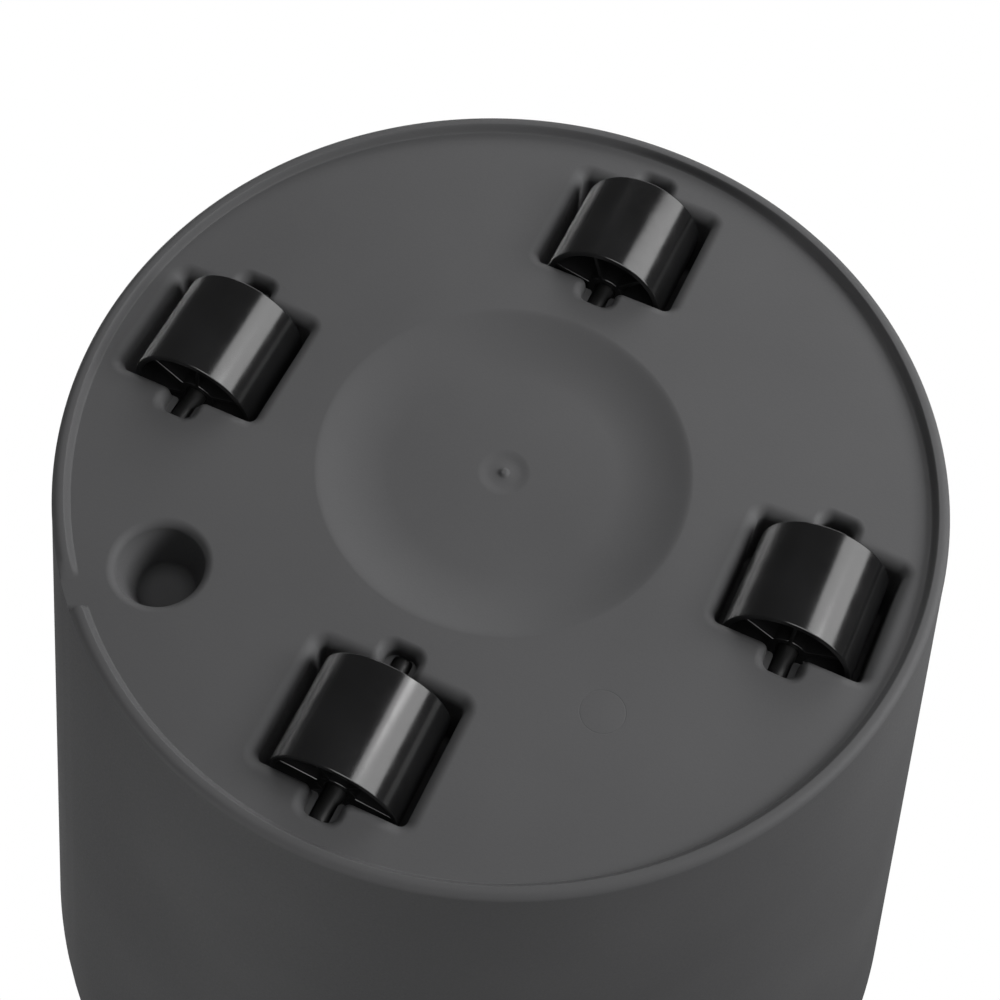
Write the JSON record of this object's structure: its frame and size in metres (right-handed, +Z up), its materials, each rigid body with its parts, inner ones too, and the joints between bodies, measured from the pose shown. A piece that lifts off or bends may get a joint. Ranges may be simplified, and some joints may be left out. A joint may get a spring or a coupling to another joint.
{
  "type": "rolling planter",
  "caption": "Round tapered planter with a rolled rim, standing on ribbed rollers let into pockets in its base, with a drain well and a foot ring.",
  "frame": {"origin": "on the floor under the pot's middle, level with the lowest line of the rollers", "axes": "+Z up through the pot's open mouth; X is the way the rollers roll, and every axle pin lies along Y"},
  "size_m": [0.3446, 0.3446, 0.323],
  "materials": {
    "pot_plastic": "matt, fine grain",
    "roller_plastic": "gloss",
    "pin_plastic": "gloss"
  },
  "bodies": {
    "pot": {"pot_body": "pot_plastic", "axle_pin_left": "pin_plastic", "axle_pin_right": "pin_plastic", "axle_pin_front": "pin_plastic", "axle_pin_back": "pin_plastic"},
    "roller_left": {"roller_left": "roller_plastic"},
    "roller_right": {"roller_right": "roller_plastic"},
    "roller_front": {"roller_front": "roller_plastic"},
    "roller_back": {"roller_back": "roller_plastic"}
  },
  "joints": [
    {"name": "roller_left_spin", "type": "hinge", "parent": "pot", "child": "roller_left", "pos_m": [-0.0902, -0.0002, 0.0184], "axis": [0, 1, 0], "continuous": true},
    {"name": "roller_right_spin", "type": "hinge", "parent": "pot", "child": "roller_right", "pos_m": [0.0902, 0.0006, 0.0184], "axis": [0, 1, 0], "continuous": true},
    {"name": "roller_front_spin", "type": "hinge", "parent": "pot", "child": "roller_front", "pos_m": [0, -0.0856, 0.0184], "axis": [0, 1, 0], "continuous": true},
    {"name": "roller_back_spin", "type": "hinge", "parent": "pot", "child": "roller_back", "pos_m": [0, 0.0873, 0.0184], "axis": [0, 1, 0], "continuous": true}
  ]
}
